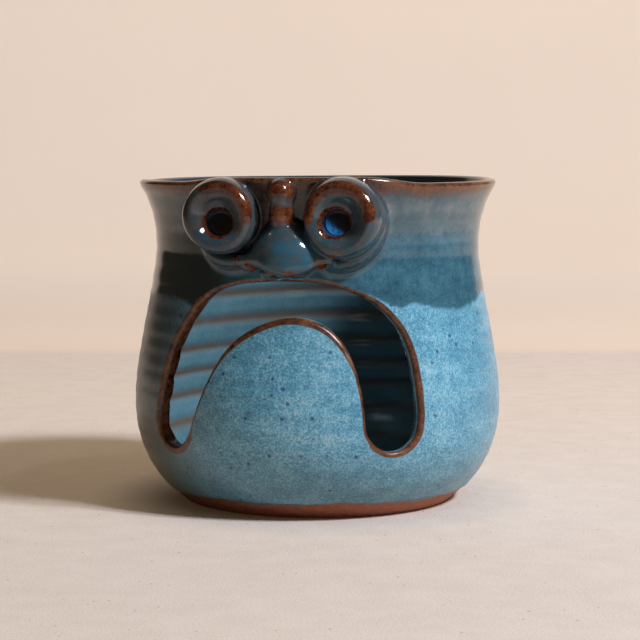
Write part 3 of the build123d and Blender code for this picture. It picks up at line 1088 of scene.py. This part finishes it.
def cloth():
    """A cloth laid flat, then carried up out of sight some way behind the bowl."""
    edge, fold = 1.3, 0.5
    run = np.r_[-2.6, -1.6, -1.0, np.arange(-0.7, 0.6, 0.02), 0.7, 0.9, 1.1, edge]
    across = np.r_[-3, -2, -1.2, np.arange(-0.8, 0.81, 0.02), 1.3, 2, 3]
    rise = [
        (edge + fold * math.sin(a), fold - fold * math.cos(a)) for a in np.linspace(0.2, 1.571, 10)
    ]
    rise += [(edge + fold, 1.2), (edge + fold, 2.6)]
    path = [(r, 0.0) for r in run] + rise
    verts, faces = [], []
    for out, up in path:
        for s in across:
            soft = 0.0006 * math.sin(9 * s + 4 * out) * math.sin(7 * out + 1)
            near = min(1, max(0, (math.hypot(s, out) - 0.09) / 0.25))
            x, y = SIDE * s + AWAY * out
            verts.append((x, y, up + soft * near - 0.0004 * near))
    n = len(across)
    for i in range(len(path) - 1):
        for j in range(2 if i >= len(run) else 0, n - 3 if i >= len(run) else n - 1):
            faces.append((i * n + j, i * n + j + 1, (i + 1) * n + j + 1, (i + 1) * n + j))
    mesh = bpy.data.meshes.new("cloth")
    mesh.from_pydata(verts, [], faces)
    mesh.shade_smooth()
    obj = bpy.data.objects.new("cloth", mesh)
    bpy.context.scene.collection.objects.link(obj)
    s = Shader("cloth")
    depth = s.add(s.times(s.x, float(AWAY[0])), s.times(s.y, float(AWAY[1])))
    back = s.band(depth, 425, 470)
    weave = s.noise(0.9, detail=2)
    slub = s.noise(14, detail=5, rough=0.65)
    fleck = s.band(s.noise(2.2, detail=3, rough=0.7), 0.66, 0.76)
    floor = s.mix(s.band(slub, 0.3, 0.7), (0.625, 0.575, 0.53), (0.675, 0.622, 0.58))
    floor = s.mix(s.times(fleck, 0.2), floor, (0.42, 0.36, 0.31))
    husk = s.dots(4.6, 0.11, 0.06, 0.55, 0.62)
    floor = s.mix(s.times(husk, 0.75), floor, (0.20, 0.12, 0.07))
    # painted shade: the cloth darker towards the front
    floor = s.mix(s.band(depth, 60, -260, 0.0, 0.16), floor, (0.35, 0.32, 0.30))
    wall = s.mix(s.noise(160, detail=2), (0.78, 0.655, 0.555), (0.82, 0.69, 0.585))
    colour = s.mix(back, floor, wall)
    # painted light: the cloth glows to stand in for the light the room throws back on it, with less glow
    # close to the bowl as painted shade
    painted_bounce_glow = s.add(s.band(depth, -60, 300, 0.135, 0.225), s.band(depth, 425, 520, 0.0, 0.03),
                 s.band(depth, 520, 1300, 0.0, 0.12))
    beside = s.node("ShaderNodeVectorMath", operation="LENGTH")
    s.plug(beside.inputs[0], s.mm)
    painted_bounce_glow = s.times(painted_bounce_glow, s.band(beside.outputs["Value"], 50, 80, 0.1, 1.0))
    warmth = s.mix(s.band(depth, 60, 900), (1.0, 0.70, 0.40), (1.0, 0.88, 0.76))
    normal = s.bump(s.add(weave, s.times(slub, 0.8)), 0.5, 0.3)
    obj.data.materials.append(
        s.finish(colour, 0.92, normal, Specular_IOR_Level=0.15,
                 Emission_Color=warmth, Emission_Strength=painted_bounce_glow)
    )


cloth()


def aim(obj, position, target):
    """Stands an object at a position and turns its -Z to the target."""
    obj.location = position
    obj.rotation_mode = "QUATERNION"
    obj.rotation_quaternion = (Vector(target) - Vector(position)).to_track_quat("-Z", "Y")


def lamp(name, turn, rise, distance, size, power, colour, shift=0.0):
    """An oblong light; turn is degrees to the right of the camera's side."""
    light = bpy.data.lights.new(name, "AREA")
    light.shape = "RECTANGLE"
    light.size, light.size_y = size
    light.energy = power
    light.color = colour
    obj = bpy.data.objects.new(name, light)
    bpy.context.scene.collection.objects.link(obj)
    a, e = CAMERA_TURN + math.radians(turn), math.radians(rise)
    out = Vector((math.sin(a) * math.cos(e), -math.cos(a) * math.cos(e), math.sin(e)))
    along = Vector((math.cos(a), math.sin(a), 0))
    aim(obj, out * distance + along * shift + Vector((0, 0, 0.06)), (0, 0, 0.06))


WINDOW_AWAY = 1.7
for pane, shift in (("left", -0.075), ("right", 0.075)):
    lamp("window_%s_pane" % pane, 56, 43, WINDOW_AWAY, (0.11, 0.26), 16.2, (0.95, 0.94, 1.0), shift)
lamp("window_top_light", 62, 64, WINDOW_AWAY, (0.05, 0.05), 1.0, (0.97, 0.96, 1.0))

# the dim warm room: colours from level with the bowl, through half way up, to overhead
ROOM = {0.0: (0.055, 0.036, 0.022), 0.4: (0.13, 0.082, 0.044), 1.0: (0.04, 0.031, 0.024)}
world = bpy.data.worlds.new("room")
bpy.context.scene.world = world
world.use_nodes = True
tree = world.node_tree
tree.nodes.clear()
where = tree.nodes.new("ShaderNodeTexCoord")
split = tree.nodes.new("ShaderNodeSeparateXYZ")
tree.links.new(where.outputs["Generated"], split.inputs[0])
high = tree.nodes.new("ShaderNodeMapRange")
high.interpolation_type = "SMOOTHSTEP"
for key, value in zip(("From Min", "From Max", "To Min", "To Max"), (0.0, 0.9, 0.0, 1.0)):
    high.inputs[key].default_value = value
tree.links.new(split.outputs[2], high.inputs["Value"])
shade = tree.nodes.new("ShaderNodeValToRGB")
shade.color_ramp.elements[0].color = (*ROOM[0.0], 1)
shade.color_ramp.elements[1].color = (*ROOM[1.0], 1)
shade.color_ramp.elements.new(0.4).color = (*ROOM[0.4], 1)
tree.links.new(high.outputs[0], shade.inputs[0])
light = tree.nodes.new("ShaderNodeBackground")
tree.links.new(shade.outputs[0], light.inputs[0])
end = tree.nodes.new("ShaderNodeOutputWorld")
tree.links.new(light.outputs[0], end.inputs[0])

# the camera stands low, a little to the right of the face, and looks slightly down
CAMERA_REACH, CAMERA_HEIGHT = 0.69957, 0.12683
CAMERA_YAW, CAMERA_PITCH = math.radians(0.062), math.radians(5.4656)
camera = bpy.data.objects.new("camera", bpy.data.cameras.new("camera"))
bpy.context.scene.collection.objects.link(camera)
bpy.context.scene.camera = camera
camera.data.sensor_width = 36
camera.data.lens = 115.46
camera.data.clip_start, camera.data.clip_end = 0.05, 20
spot = Vector((*(-CAMERA_REACH * AWAY), CAMERA_HEIGHT))
level = SIDE * math.sin(CAMERA_YAW) + AWAY * math.cos(CAMERA_YAW)
forward = Vector((*(level * math.cos(CAMERA_PITCH)), -math.sin(CAMERA_PITCH)))
aim(camera, spot, spot + forward)

bpy.context.scene.view_settings.view_transform = "Standard"
